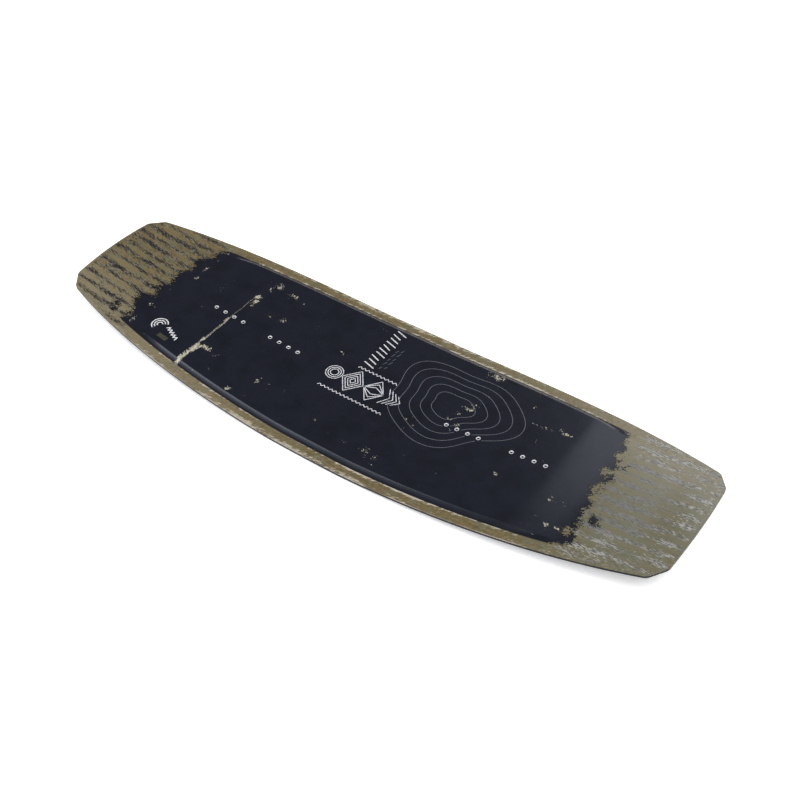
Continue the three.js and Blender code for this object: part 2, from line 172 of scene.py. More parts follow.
def inset_outline(outline, inset):
    """The outline moved in by inset, square to itself."""
    along = np.gradient(outline, axis=0)
    along /= np.linalg.norm(along, axis=1)[:, None]
    inward = np.column_stack([along[:, 1], -along[:, 0]])
    return outline + inset * inward


def plan_grid(rail_xs, offsets, inner_lines, inset=0.0):
    """x and y of every crossing of the station lines and the lines along the board, tail to nose."""
    whole, corner_start, last = quarter_outline(rail_xs)
    outline = inset_outline(whole, inset)
    start_x = outline[corner_start, 0]
    end_x, end_y = outline[last]
    tip_ys = outline[last:, 1][::-1]
    tip_xs = outline[last:, 0][::-1]
    rows = []
    for edge_x, edge_y in outline[: last + 1]:
        from_edge = edge_y - np.maximum(offsets - inset, 0)
        from_edge[1:] -= np.arange(1, len(offsets)) * LINE_GAP
        inner = np.linspace(from_edge[-1], HOLE_CELLS * CELL, inner_lines + 1)[1:]
        centre = np.arange(HOLE_CELLS - 1, -1, -1) * CELL
        half = np.concatenate([from_edge, inner, centre])
        y = np.concatenate([-half, half[-2::-1]])
        share = max(0.0, (edge_x - start_x) / (end_x - start_x))
        reach = np.interp(np.abs(y) / edge_y * end_y, tip_ys, tip_xs)
        x = start_x + share * (reach - start_x) if share > 0 else np.full_like(y, edge_x)
        rows.append((x, y))
    xs = np.array([row[0] for row in rows])
    ys = np.array([row[1] for row in rows])
    return np.vstack([-xs[::-1], xs]), np.vstack([ys[::-1], ys])


# ---- Heights ----


def base_z(x, y):
    rise = np.maximum(0, np.abs(x) - FLAT_HALF) / (HALF_LENGTH - FLAT_HALF)
    crown = TIP_CROWN * smoothstep(CROWN_START, HALF_LENGTH, np.abs(x))
    return TIP_RISE * rise**ROCKER_POWER + crown * (1 - (y / rail_half_width(x)) ** 2)


def platform_height(x):
    return PLATFORM_RISE * (1 - smoothstep(FADE_START, FADE_END, np.abs(x)))


def deck_z(x, y, inset):
    """The deck's top: flat rim, a hollow shoulder that steepens to a crisp lip, flat platform."""
    up = np.clip((inset - RIM_WIDTH) / SHOULDER_WIDTH, 0, 1)
    platform = platform_height(x)
    groove = np.clip(1 - np.abs(inset - RIM_WIDTH) / GROOVE_HALF, 0, 1)
    step = platform * up**SHOULDER_POWER - GROOVE_DEPTH * groove * platform / PLATFORM_RISE
    return base_z(x, y) + EDGE_THICKNESS + step


def rounded_edge(inset, radius):
    """How far a rounded edge lies under the corner that it replaces."""
    return radius - np.sqrt(radius**2 - np.maximum(0, radius - inset) ** 2)


def surface_point(x, y, lift=0.0):
    """A point on the platform's flat middle."""
    return (x, y, float(deck_z(x, y, RIM_WIDTH + SHOULDER_WIDTH)) + lift)


# ---- Meshes ----


def add_object(name, data):
    made = bpy.data.objects.new(name, data)
    bpy.context.scene.collection.objects.link(made)
    return made


def shade(mesh, sharp_angle=SHARP_ANGLE):
    mesh.shade_smooth()
    mesh.set_sharp_from_angle(angle=sharp_angle)


def make_object(name, points, faces, sharp_angle=SHARP_ANGLE):
    mesh = bpy.data.meshes.new(name)
    mesh.from_pydata([tuple(map(float, p)) for p in points], [], faces)
    mesh.validate()
    shape = bmesh.new()
    shape.from_mesh(mesh)
    bmesh.ops.recalc_face_normals(shape, faces=shape.faces)
    shape.to_mesh(mesh)
    shape.free()
    shade(mesh, sharp_angle)
    return add_object(name, mesh)


def finish_piece(piece, slot, material, *nodes):
    """The piece rides on the board, takes its finish and hides its CAD nodes."""
    piece.data.materials.clear()
    piece.data.materials.append(material)
    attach(piece, "root")
    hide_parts(*nodes)


def ring_faces(rows, count):
    """Quads between neighbouring closed rings of count points."""
    ring = np.arange(count)
    after = (ring + 1) % count
    faces = []
    for i in range(rows - 1):
        a, b = i * count, (i + 1) * count
        faces += np.column_stack([a + ring, b + ring, b + after, a + after]).tolist()
    return faces


def stack_mesh(rings):
    """Closed rings of as many points each, joined in turn and capped at both ends."""
    count = len(rings[0])
    faces = ring_faces(len(rings), count)
    last = (len(rings) - 1) * count
    faces.append(list(range(count)))
    faces.append([last + k for k in range(count - 1, -1, -1)])
    return np.concatenate(rings), faces


def sheet_mesh(top, bottom):
    """A thin shell between two grids of points, each of the shape (stations, lines, 3)."""
    stations, lines, _ = top.shape
    rings = np.concatenate([top, bottom[:, ::-1]], axis=1)
    faces = ring_faces(stations, 2 * lines)
    line = np.arange(lines - 1)
    opposite = 2 * lines - 1 - line
    last = (stations - 1) * 2 * lines
    faces += np.column_stack([line, line + 1, opposite - 1, opposite]).tolist()
    faces += (last + np.column_stack([opposite, opposite - 1, line + 1, line])).tolist()
    return rings.reshape(-1, 3), faces


def band_mesh(path, section):
    """A closed section of (inset, height over the base) points swept along an outline path."""
    lines = []
    for inset, height in section:
        moved = inset_outline(path, inset)
        z = base_z(moved[:, 0], moved[:, 1]) + height
        lines.append(np.column_stack([moved, z]))
    return stack_mesh(np.stack(lines, axis=1))


def carve(piece, cutter, operation="DIFFERENCE"):
    """Takes the cutter out of the piece, or joins it on, and leaves the one mesh."""
    modifier = piece.modifiers.new("carve", "BOOLEAN")
    modifier.operation = operation
    modifier.object = cutter
    depsgraph = bpy.context.evaluated_depsgraph_get()
    mesh = bpy.data.meshes.new_from_object(piece.evaluated_get(depsgraph))
    piece.modifiers.clear()
    piece.data = mesh
    shade(mesh)
    bpy.data.objects.remove(cutter)


def lathe_mesh(radii, heights):
    """Rings about Z: radii has one row for each ring and one column for each step round it."""
    rings, steps = radii.shape
    angle = np.linspace(0, 2 * math.pi, steps, endpoint=False)
    z = np.broadcast_to(np.reshape(heights, (rings, -1)), radii.shape)
    points = np.stack([radii * np.cos(angle), radii * np.sin(angle), z], axis=2)
    return points.reshape(-1, 3), ring_faces(rings, steps)


def surface_frame(x, y, z):
    """The place of a piece that stands at a point, its own Z axis square to the base's curve."""
    step = 1 * MM
    slope = float(base_z(x + step, 0) - base_z(x - step, 0)) / (2 * step)
    return Matrix.Translation((x, y, z)) @ Matrix.Rotation(-math.atan(slope), 4, "Y")


# ---- Materials ----


def linear(red, green, blue):
    """A colour given in display values of 0 to 255, as the shader wants it."""
    parts = [c / 255 for c in (red, green, blue)]
    return [p / 12.92 if p <= 0.04045 else ((p + 0.055) / 1.055) ** 2.4 for p in parts] + [1.0]


def feed(tree, slot, value):
    if isinstance(value, Value):
        tree.links.new(value.socket, slot)
    else:
        slot.default_value = value


def new_value(tree, kind, inputs, output=0, **settings):
    """What a new shader node gives. Its inputs are set, or linked where they are Values."""
    node = tree.nodes.new("ShaderNode" + kind)
    for setting, value in settings.items():
        setattr(node, setting, value)
    for slot, value in dict(inputs).items():
        feed(tree, node.inputs[slot], value)
    return Value(tree, node.outputs[output])


class Value:
    """A number or colour that varies over a surface. Arithmetic on it adds nodes to its material."""

    def __init__(self, tree, socket):
        self.tree = tree
        self.socket = socket

    def math(self, operation, *others):
        return new_value(self.tree, "Math", enumerate((self, *others)), operation=operation)

    __add__ = partialmethod(math, "ADD")
    __sub__ = partialmethod(math, "SUBTRACT")
    __mul__ = partialmethod(math, "MULTIPLY")
    __abs__ = partialmethod(math, "ABSOLUTE")

    def inverted(self):
        return self.math("MULTIPLY_ADD", -1.0, 1.0)

    def rise(self, low, high):
        """0 below low, 1 above high and a smooth step between them; low may be the greater."""
        inputs = {"Value": self, "From Min": low, "From Max": high}
        return new_value(self.tree, "MapRange", inputs, interpolation_type="SMOOTHSTEP")


class Finish:
    """A procedural material in the making, patterned by place on its piece, in millimetres."""

    def __init__(self, name, **constants):
        self.material = bpy.data.materials.new(name)
        self.material.use_nodes = True
        self.tree = self.material.node_tree
        self.shader = self.tree.nodes["Principled BSDF"]
        for socket, value in constants.items():
            self.shader.inputs[socket.replace("_", " ")].default_value = value
        self.place = new_value(self.tree, "TexCoord", {}, "Object")
        axes = [new_value(self.tree, "SeparateXYZ", {0: self.place}, axis) for axis in "XYZ"]
        self.x, self.y, self.z = (axis * (1 / MM) for axis in axes)

    def attribute(self, name):
        return new_value(self.tree, "Attribute", {}, "Fac", attribute_name=name)

    def noise(self, length, width=None, angle=0.0, detail=3.0, height=None, seed=0.0, rough=0.5):
        """Noise whose blotches are about length long at that angle to the board, and width wide."""
        size = [side * MM for side in (length, width or length, height or length)]
        place = {
            "Vector": self.place,
            "Location": (seed * size[0], seed * size[0], 0),
            "Rotation": (0, 0, math.radians(angle)),
            "Scale": size,
        }
        vector = new_value(self.tree, "Mapping", place, vector_type="TEXTURE")
        inputs = {"Vector": vector, "Scale": 1.0, "Detail": detail, "Roughness": rough}
        return new_value(self.tree, "TexNoise", inputs, "Fac")

    def mix(self, under, over, share):
        """The colour under, or over where share is 1."""
        return new_value(self.tree, "Mix", {0: share, 6: under, 7: over}, 2, data_type="RGBA")

    def coats(self, colour, *coats):
        """A colour under coats of (colour, share), each over the last."""
        for coat, share in coats:
            colour = self.mix(colour, coat, share)
        return colour

    def colour(self, value):
        feed(self.tree, self.shader.inputs["Base Color"], value)

    def roughness(self, value):
        feed(self.tree, self.shader.inputs["Roughness"], value)

    def bump(self, height, depth):
        inputs = {"Height": height, "Distance": depth * MM, "Strength": 1.0}
        feed(self.tree, self.shader.inputs["Normal"], new_value(self.tree, "Bump", inputs))


# ---- The deck's print and its wear, in millimetres on the board ----

# The ragged ends of the dark print: x at each y.
PRINT_TAIL = [
    (-160, -552), (-152, -566), (-140, -560), (-124, -562), (-110, -563), (-95, -580), (-70, -588),
    (-58, -568), (-50, -565), (-35, -578), (-20, -570), (-8, -560), (0, -562), (20, -562), (38, -570),
    (55, -550), (70, -556), (95, -568), (108, -548), (125, -545), (150, -540), (165, -524),
]
PRINT_NOSE = [
    (-165, 520), (-158, 530), (-150, 548), (-135, 566), (-115, 545), (-100, 550), (-80, 545),
    (-60, 538), (-40, 546), (-25, 528), (-12, 532), (0, 519), (12, 530), (30, 545), (48, 541),
    (60, 541), (70, 538), (85, 526), (100, 516), (112, 531), (130, 518), (158, 515), (165, 512),
]
PRINT_ISLANDS = [(-603, -125, 8), (-598, -141, 7), (567, -74, 11), (536, -2, 4), (549, 74, 4), (525, 86, 6)]
PRINT_GAPS = [(-567, -47, 9), (527, 48, 9), (-562, 62, 8), (540, -118, 5)]

# Where the print is worn or chipped away: x, y, half its length, half its width, how thoroughly.
CRACK = [
    (-377, -160, 6, 28, 1.3), (-374, -124, 7, 18, 1.3), (-356, -109, 15, 6, 1.2), (-376, -92, 5, 8, 1.1),
    (-378, -17, 4, 10, 1.0), (-366, 66, 6, 10, 1.1), (-372, 81, 6, 6, 1.2), (-366, 48, 7, 6, 0.8),
    (-378, 133, 4, 8, 0.45), (-366, 118, 4, 9, 0.45),
]
CHIPS = [
    (-355, 136, 12, 11, 0.75), (-310, 132, 13, 11, 0.7), (-279, 127, 7, 3, 0.7), (-280, 57, 7, 9, 0.85),
    (-312, 49, 8, 4, 0.7), (-313, 72, 6, 3, 0.4), (-288, 46, 5, 4, 0.4), (-112, 57, 8, 7, 0.75),
    (-121, 54, 4, 4, 0.6), (-207, 85, 6, 4, 0.35), (-204, -115, 6, 9, 0.8), (-199, -105, 5, 4, 0.6),
    (-182, -108, 9, 4, 0.55), (-178, -123, 11, 6, 0.4), (-142, -106, 5, 4, 0.6), (-138, -92, 4, 4, 0.35),
    (-325, -112, 10, 5, 0.6), (-309, -148, 4, 8, 0.5), (-288, -140, 4, 3, 0.35), (-238, -170, 9, 8, 0.85),
    (-204, -165, 7, 7, 0.45), (-262, -167, 5, 4, 0.5), (-38, -133, 6, 4, 0.85), (-228, -95, 5, 4, 0.4),
    (-454, 98, 6, 14, 0.35), (-450, 56, 9, 14, 0.4), (-445, -19, 8, 8, 0.35), (-509, -42, 5, 4, 0.4),
    (-524, 150, 8, 5, 0.6), (-524, 122, 3, 12, 0.45), (-527, 80, 4, 11, 0.9), (-524, 46, 5, 6, 0.8),
    (-540, -80, 12, 6, 0.6), (-541, -84, 4, 8, 0.6), (-541, -138, 6, 14, 0.6), (-545, -22, 5, 8, 0.6),
    (203, 172, 20, 10, 0.85), (204, 61, 13, 6, 0.9), (214, 72, 8, 9, 0.6), (202, 80, 16, 12, 0.42),
    (196, 40, 14, 7, 0.45), (187, 18, 6, 8, 0.7), (210, 9, 8, 5, 0.8), (203, -8, 8, 4, 0.6),
    (217, 111, 5, 4, 0.8), (122, -18, 6, 3, 0.6), (117, -30, 7, 4, 0.75), (136, -37, 5, 4, 0.6),
    (126, -52, 9, 4, 0.45), (98, -144, 16, 8, 0.6), (106, -156, 6, 8, 0.5), (125, -152, 9, 10, 0.5),
    (133, -168, 7, 3, 0.55), (48, -149, 12, 4, 0.5), (66, -149, 5, 3, 0.45), (6, -147, 5, 3, 0.4),
    (350, -65, 7, 6, 0.75), (365, -53, 5, 4, 0.5), (370, 49, 5, 7, 0.6), (364, 43, 6, 7, 0.4),
    (414, 27, 8, 4, 0.5), (414, 94, 12, 5, 0.95), (398, 100, 9, 6, 0.6), (340, 91, 9, 4, 0.6),
    (372, 92, 15, 4, 0.6), (452, 98, 8, 8, 0.55), (267, 91, 6, 4, 0.4), (315, 133, 5, 5, 0.7),
    (471, -65, 5, 9, 0.85), (494, -68, 11, 11, 0.42), (498, -124, 7, 7, 0.9), (520, -123, 8, 5, 0.85),
    (472, -118, 8, 4, 0.45), (410, 8, 5, 4, 0.35), (330, -148, 8, 4, 0.3), (504, 158, 5, 5, 0.5),
    (-160, 170, 5, 3, 0.3), (-90, 168, 12, 3, 0.35), (105, 52, 5, 3, 0.35), (184, -76, 6, 3, 0.35),
]

WEAR_HEART = 1.3
WEAR_FADE = 0.75  # lost for each half length or half width of the patch


def print_cover(x, y):
    """How far a point lies inside the dark print; negative outside it."""
    tail = np.interp(y, *zip(*PRINT_TAIL))
    nose = np.interp(y, *zip(*PRINT_NOSE))
    cover = np.minimum(x - tail, nose - x)
    for island_x, island_y, radius in PRINT_ISLANDS:
        cover = np.maximum(cover, radius - np.hypot(x - island_x, y - island_y))
    for gap_x, gap_y, radius in PRINT_GAPS:
        cover = np.minimum(cover, np.hypot(x - gap_x, y - gap_y) - radius)
    return cover


def worn(x, y):
    """How thoroughly the print is worn at a point: most in the heart of a patch, fading past its rim."""
    total = np.zeros_like(x)
    for chip_x, chip_y, half_x, half_y, depth in CRACK + CHIPS:
        reach = np.hypot((x - chip_x) / half_x, (y - chip_y) / half_y)
        total = np.maximum(total, depth * np.clip(WEAR_HEART - WEAR_FADE * reach, 0, 1))
    return total


def add_attribute(piece, name, values):
    layer = piece.data.attributes.new(name, "FLOAT", "POINT")
    layer.data.foreach_set("value", np.asarray(values, dtype=np.float32).ravel())


OLIVE = linear(100, 91, 66)
OLIVE_DARK = linear(82, 74, 52)
OLIVE_WARM = linear(113, 98, 64)
OLIVE_GREEN = linear(94, 96, 76)
OLIVE_RUST = linear(116, 92, 66)
OLIVE_PALE = linear(134, 126, 106)
CHALK = linear(182, 174, 158)
PRINT_DARK = linear(21, 23, 33)
PRINT_BLACK = linear(16, 18, 27)
FRINGE = linear(6, 6, 8)
BARE = linear(92, 89, 78)
BARE_PALE = linear(172, 167, 148)
INK_TAIL = linear(42, 40, 37)
INK_TAIL_DARK = linear(24, 23, 23)
INK_TAIL_PALE = linear(112, 110, 104)
INK_NOSE = linear(112, 112, 110)
INK_NOSE_DARK = linear(74, 74, 76)
INK_NOSE_PALE = linear(172, 170, 163)
NOSE_GREY = linear(100, 102, 86)
ROW_PITCH = 25  # from one row of strokes on the tips to the next
CRACK_X = -376
CRACK_END = 84  # it runs from the right edge of the platform to this y
RAGGED = 56  # how far the coarse noise moves the print's ends, from its least to its most
SPECKLED = 50  # and the fine noise
BARE_FROM = 0.70  # the print chips off between these sums of wear and noise
BARE_TO = 0.73


def weathered_olive(finish):
    """The olive field: brushed lengthwise, blotched, and lighter at two opposite corners, a painted sheen.
    """
    streaks = finish.noise(80, 4)
    blotches = finish.noise(18, 9, angle=20, seed=3)
    tints = finish.noise(26, 16, detail=2, seed=13)
    rust = finish.noise(13, 8, angle=-15, seed=23)
    # Painted sheen: the olive is lightened towards the tail on the right rail and the nose on the left
    # rail.
    painted_sheen = (finish.x * finish.y).rise(-20_000, 110_000)
    return finish.coats(
        OLIVE_DARK,
        (OLIVE_WARM, streaks.rise(0.3, 0.7)),
        (OLIVE, blotches.rise(0.35, 0.6) * 0.7),
        (OLIVE_GREEN, tints.rise(0.5, 0.66) * 0.7),
        (OLIVE_RUST, rust.rise(0.55, 0.66) * 0.5),
        (NOSE_GREY, finish.x.rise(430, 620) * 0.5),
        (OLIVE_PALE, painted_sheen * 0.45),
    )


def tip_strokes(finish, olive, inset):
    """Rows of short slanted strokes, dark at the tail and pale at the nose."""
    wander = (finish.noise(60, 30, seed=19, detail=2) - 0.5) * 14
    row = (finish.y + wander) * (1 / ROW_PITCH)
    row = abs(row.math("FRACT") - 0.5).rise(0.42, 0.0)
    density = finish.noise(45, 18, detail=1, seed=11) * 0.3
    in_tip = abs(finish.x).rise(525, 560) * inset.rise(2, 8)
    at_nose = finish.x.rise(-100, 100)
    nose_edge_ink = finish.mix(INK_NOSE, INK_NOSE_PALE, inset.rise(100, 40))
    # seed, angle, ink at the tail, ink at the nose and how far the strokes gather in the rows
    layers = (
        (7, -20, INK_TAIL_PALE, INK_NOSE, 0.14),
        (27, -14, INK_TAIL, INK_NOSE_DARK, 0.15),
        (47, -6, INK_TAIL_DARK, nose_edge_ink, 0.10),
    )
    for seed, angle, tail_ink, nose_ink, gather in layers:
        strokes = finish.noise(10, 2.2, angle=angle, detail=4, seed=seed, rough=0.64)
        marks = (row * gather + strokes + density).rise(0.755, 0.79)
        ink = finish.mix(tail_ink, nose_ink, at_nose)
        olive = finish.mix(olive, ink, marks * in_tip * (at_nose * -0.25 + 0.85))
    return olive


def rim_brushwork(finish, olive, inset, side):
    """Chalky slanted brush marks, a pale line where the rim ends and a worn outer lip.

    The marks show where the noise and the pull of their place add up to about 1.
    """
    brush = finish.noise(14, 3.2, angle=16, detail=4, seed=5, rough=0.66)
    patchy = finish.noise(70, seed=15)
    middle = abs(finish.x + 70).rise(460, 60) * 0.17
    outer = (inset.rise(16, 4) * 0.25 + brush + patchy * 0.3 + middle).rise(1.03, 1.06)
    beside_platform = abs(finish.x).rise(520, 440)
    fore = abs(finish.x - 200).rise(200, 60) * 0.08
    inner = side.rise(13, 23) * beside_platform
    inner = (inner * 0.34 + brush + patchy * 0.3 + fore).rise(1.0, 1.04) * side.rise(26, 25)
    lip = inset.rise(1.4, 0.6) * patchy.rise(0.35, 0.6) * beside_platform
    mottle = finish.noise(7, 2.2, angle=30, detail=4, seed=25, rough=0.65)
    on_rim = side.rise(30, 22)
    return finish.coats(
        olive,
        (OLIVE_DARK, mottle.rise(0.48, 0.38) * on_rim * 0.6),
        (OLIVE_PALE, mottle.rise(0.56, 0.64) * on_rim * 0.7),
        (CHALK, outer * 0.68),
        (CHALK, inner * 0.8),
        (CHALK, lip * 0.7),
    )


def crack_line(finish):
    """A thin wavering crack across the deck, finer to the left of the inserts."""
    waver = (finish.noise(30, detail=4, seed=31) - 0.5) * 9
    from_line = abs(finish.x - CRACK_X + waver)
    frayed = finish.noise(5, 3, seed=33) * 3
    width = finish.y.rise(5, -40) * 1.4 - 0.8
    line = (width + frayed - from_line).rise(-0.2, 0.2)
    return line * finish.y.rise(CRACK_END, CRACK_END - 5)


def topsheet_finish():
    finish = Finish("topsheet_print")
    inset = finish.attribute("inset")
    side = finish.attribute("side")
    olive = weathered_olive(finish)
    olive = tip_strokes(finish, olive, inset)
    olive = rim_brushwork(finish, olive, inset, side)

    ragged = finish.noise(16, 10, angle=25, detail=7, seed=2, rough=0.72)
    specks = finish.noise(3.2, 2, angle=25, seed=12)
    cover = finish.attribute("cover") + (ragged - 0.5) * RAGGED + (specks - 0.5) * SPECKLED
    on_platform = side.rise(RIM_WIDTH / MM - 0.5, RIM_WIDTH / MM - 0.1)
    printed = cover.rise(-0.3, 0.3) * on_platform

    chips = finish.noise(14, 8, angle=-40, detail=2, seed=9) * 0.3
    chips = chips + finish.noise(4.6, 3.2, angle=-40, seed=29, rough=0.6) * 0.7
    bare = (finish.attribute("wear") * 0.28 + chips).rise(BARE_FROM, BARE_TO)
    bare = bare.math("MAXIMUM", crack_line(finish))
    pale = finish.noise(4, seed=17) + finish.attribute("wear") * 0.12
    chipped = finish.mix(BARE, BARE_PALE, pale.rise(0.5, 0.68))
    deck = finish.coats(
        PRINT_DARK,
        (PRINT_BLACK, finish.noise(40, detail=4).rise(0.4, 0.7)),
        (FRINGE, cover.rise(9, 3) * 0.9),
        (chipped, bare),
    )
    finish.colour(finish.mix(olive, deck, printed))
    finish.roughness(chips * 0.12 + 0.18 + printed * bare * 0.25)
    finish.bump(finish.noise(1.2) * 0.3 + printed * bare.inverted(), 0.05)
    return finish.material


def ink_finish(name, colour, fresh=0.62):
    """Screen-printed ink over the dark print, rubbed through in small flecks."""
    finish = Finish(name)
    rubbed = finish.noise(4, 1.6, angle=30, detail=5, seed=8, rough=0.65)
    finish.colour(finish.mix(colour, PRINT_DARK, rubbed.rise(fresh - 0.07, fresh)))
    finish.roughness(rubbed * 0.3 + 0.25)
    finish.bump(rubbed, 0.01)
    return finish.material


# Painted shade: the dark colour given to a bore below its mouth.
BORE_SHADE_COLOUR = linear(34, 33, 32)
GRAIN = 1.5
RING_PITCH = 0.25
TOW = 2


def plastic_finish(name, colour, worn_colour, scuff=(1.2, 60), wear=0.6, shine=0.5):
    """Dark moulded plastic with a fine grain and long pale scuffs of the given width and height."""
    finish = Finish(name, Specular_IOR_Level=shine)
    width, height = scuff
    scuffs = finish.noise(60, width, detail=5, height=height, seed=4, rough=0.6).rise(0.55, 0.72)
    patches = finish.noise(120, 50, detail=2, seed=6).rise(0.35, 0.65)
    finish.colour(finish.mix(colour, worn_colour, scuffs * patches * wear))
    finish.roughness(finish.noise(GRAIN, detail=2) * 0.25 + 0.28)
    finish.bump(finish.noise(GRAIN) + scuffs * 0.4, 0.05)
    return finish.material


def metal_finish(name, colour, dull_colour, metallic=1.0, painted_shade_below=None):
    """Turned metal: fine rings round its own axis, slight tarnish, and painted shade down in a bore."""
    finish = Finish(name, Metallic=metallic)
    radius = (finish.x * finish.x + finish.y * finish.y).math("SQRT")
    rings = (radius * (2 * math.pi / RING_PITCH)).math("SINE")
    tarnish = finish.noise(3, detail=4).rise(0.45, 0.75)
    metal = finish.mix(colour, dull_colour, tarnish)
    if painted_shade_below is not None:
        # Painted shade: the bore darkens from just below its mouth downward.
        bore_shade_mask = finish.z.rise(painted_shade_below, painted_shade_below - 0.5)
        metal = finish.mix(metal, BORE_SHADE_COLOUR, bore_shade_mask)
    finish.colour(metal)
    finish.roughness(tarnish * 0.25 + 0.25)
    finish.bump(rings * 0.5 + tarnish, 0.015)
    return finish.material


def wood_finish(name, light, dark, grain_width):
    """A core strip: long grain along the board, with darker growth lines and pores."""
    finish = Finish(name)
    grain = finish.noise(220, grain_width, detail=5, height=grain_width)
    pores = finish.noise(14, 0.5, height=0.5, seed=2)
    shade = grain.rise(0.35, 0.65) * 0.7 + pores.rise(0.55, 0.75) * 0.3
    finish.colour(finish.mix(light, dark, shade))
    finish.roughness(pores * 0.3 + 0.5)
    finish.bump(grain + pores, 0.1)
    return finish.material


def glass_finish():
    """Resin-soaked glass cloth in a plain weave."""
    finish = Finish("glass_weave", Coat_Weight=0.3)
    turn = math.pi / TOW
    weave = (finish.x * turn).math("SINE") * (finish.y * turn).math("SINE")
    over = (weave * 4.0 + 0.5).rise(0, 1)
    finish.colour(finish.mix(linear(150, 160, 140), linear(196, 203, 184), over))
    finish.roughness(over * 0.15 + 0.3)
    finish.bump(over, 0.1)
    return finish.material


def floor_finish():
    finish = Finish("floor_paper", Specular_IOR_Level=0.1, Roughness=0.9, Emission_Strength=0.42)
    finish.shader.inputs["Emission Color"].default_value = (1, 1, 1, 1)
    tone = finish.noise(800, detail=2)
    finish.colour(finish.mix((0.90, 0.90, 0.90, 1), (0.93, 0.93, 0.93, 1), tone))
    return finish.material


# ---- The deck ----


def hole_loop():
    """The points round the block of a hole, as (stations, lines) from its centre, in order."""
    side = range(-HOLE_CELLS, HOLE_CELLS)
    return (
        [(HOLE_CELLS, k) for k in side]
        + [(-k, HOLE_CELLS) for k in side]
        + [(-HOLE_CELLS, -k) for k in side]
        + [(k, -HOLE_CELLS) for k in side]
    )


def hole_block(station, middle, lines):
    """The grid points of the block round a hole, by (stations, lines), and those under them."""
    span = range(-HOLE_CELLS, HOLE_CELLS + 1)
    block = {(i, k): (station + i) * 2 * lines + middle + k for i in span for k in span}
    under = {(station + i) * 2 * lines + 2 * lines - 1 - middle - k for i in span for k in span}
    return block, under


def cut_hole(points, faces, block):
    """Bridges a block's outline to a round hole and hangs the hole's wall from it."""
    loop = [block[offset] for offset in hole_loop()]
    centre = points[block[(0, 0)]]
    corners = np.array([points[v] for v in loop]) - centre
    angle = np.unwrap(np.arctan2(corners[:, 1], corners[:, 0]))
    angle = np.append(angle, angle[0] + 2 * math.pi * np.sign(angle[1] - angle[0]))
    circle = []
    for k in range(len(loop)):
        circle += list(np.linspace(angle[k], angle[k + 1], HOLE_STEPS + 1)[:-1])
    first = len(points)
    count = len(circle)
    for drop in (0, SHEET):
        for turn in circle:
            x = centre[0] + HOLE_RADIUS * math.cos(turn)
            y = centre[1] + HOLE_RADIUS * math.sin(turn)
            points.append(np.array(surface_point(x, y, -drop)))
    for k in range(len(loop)):
        arc = [first + (HOLE_STEPS * k + j) % count for j in range(HOLE_STEPS + 1)]
        faces.append([loop[k], loop[(k + 1) % len(loop)], *arc[::-1]])
    for k in range(count):
        after = (k + 1) % count
        faces.append([first + k, first + after, first + count + after, first + count + k])


def add_deck_attributes(deck, points, inset, side):
    """What the print's material reads at each point: distances in from the edge, cover and wear."""
    xs, ys, _ = np.array(points).T
    for label, values in (("inset", inset), ("side", side)):
        both_faces = np.concatenate([values, values[:, ::-1]], axis=1).ravel()
        in_holes = np.full(len(points) - len(both_faces), HALF_WIDTH)
        add_attribute(deck, label, np.append(both_faces, in_holes) / MM)
    add_attribute(deck, "cover", print_cover(xs / MM, ys / MM))
    add_attribute(deck, "wear", worn(xs / MM, ys / MM))


def make_deck():
    rail_xs = FOOT_X + CELL * np.arange(-math.floor(FOOT_X / CELL), math.ceil(HALF_LENGTH / CELL))
    x, y = plan_grid(rail_xs, EDGE_OFFSETS, INNER_LINES)
    side = np.abs(y[:, :1]) - np.abs(y)
    inset = np.minimum(side, np.maximum(0, tip_x(y) - np.abs(x)))
    top_z = deck_z(x, y, side) - rounded_edge(inset, LIP_RADIUS)
    under_z = deck_z(x, y, side) - SHEET
    grid, faces = sheet_mesh(np.stack([x, y, top_z], 2), np.stack([x, y, under_z], 2))
    points = list(grid)
    lines = x.shape[1]
    middle = lines // 2
    dropped = set()
    blocks = []
    for insert_x in INSERT_X.values():
        station = int(np.argmin(np.abs(x[:, middle] - insert_x)))
        block, under = hole_block(station, middle, lines)
        dropped |= set(block.values()) | under
        blocks.append(block)
    faces = [face for face in faces if not dropped.issuperset(face)]
    for block in blocks:
        cut_hole(points, faces, block)
    deck = make_object("deck_sheet", points, faces, DECK_SHARP_ANGLE)
    add_deck_attributes(deck, points, inset, side)
    finish_piece(deck, "topsheet", topsheet_finish(), "topsheet")


# ---- Line art: plain geometric marks, in millimetres on the board ----

INK_LIFT = 0.03 * MM
INK_STEP = 4.0
INSERT_CLEARANCE = 8.0


def arc(x, y, radius, start=0, end=360):
    turn = np.radians(np.linspace(start, end, 61))
    return np.column_stack([x + radius * np.cos(turn), y + radius * np.sin(turn)])


def diamond(x, y, half_x, half_y):
    corners = [(-half_x, 0), (0, half_y), (half_x, 0), (0, -half_y), (-half_x, 0)]
    return np.array(corners) + (x, y)


def zigzag(start, end, height, turns):
    share = np.linspace(0, 1, 2 * turns + 1)[:, None]
    start, end = np.array(start), np.array(end)
    square = np.array([start[1] - end[1], end[0] - start[0]]) / np.linalg.norm(end - start)
    side = np.where(np.arange(len(share)) % 2, 1, -1)[:, None]
    return start + share * (end - start) + side * height / 2 * square


def contour(x, y, half_x, half_y):
    """A closed line like one on a map of a hill."""
    turn = np.linspace(0, 2 * math.pi, 181)
    reach = 1 + 0.10 * np.sin(3 * turn + 0.6) + 0.05 * np.sin(5 * turn + 2.0)
    return np.column_stack([x + half_x * reach * np.cos(turn), y + half_y * reach * np.sin(turn)])


def clear_runs(path):
    """The runs of a path that keep clear of the binding inserts."""
    centres = np.array(list(INSERT_X.values())) / MM
    away = np.hypot(path[:, :1] - centres, path[:, 1:]).min(axis=1) > INSERT_CLEARANCE
    breaks = np.flatnonzero(np.diff(away.astype(int))) + 1
    runs = np.split(path, breaks)
    flags = np.split(away, breaks)
    return [run for run, flag in zip(runs, flags) if flag[0] and len(run) > 1]


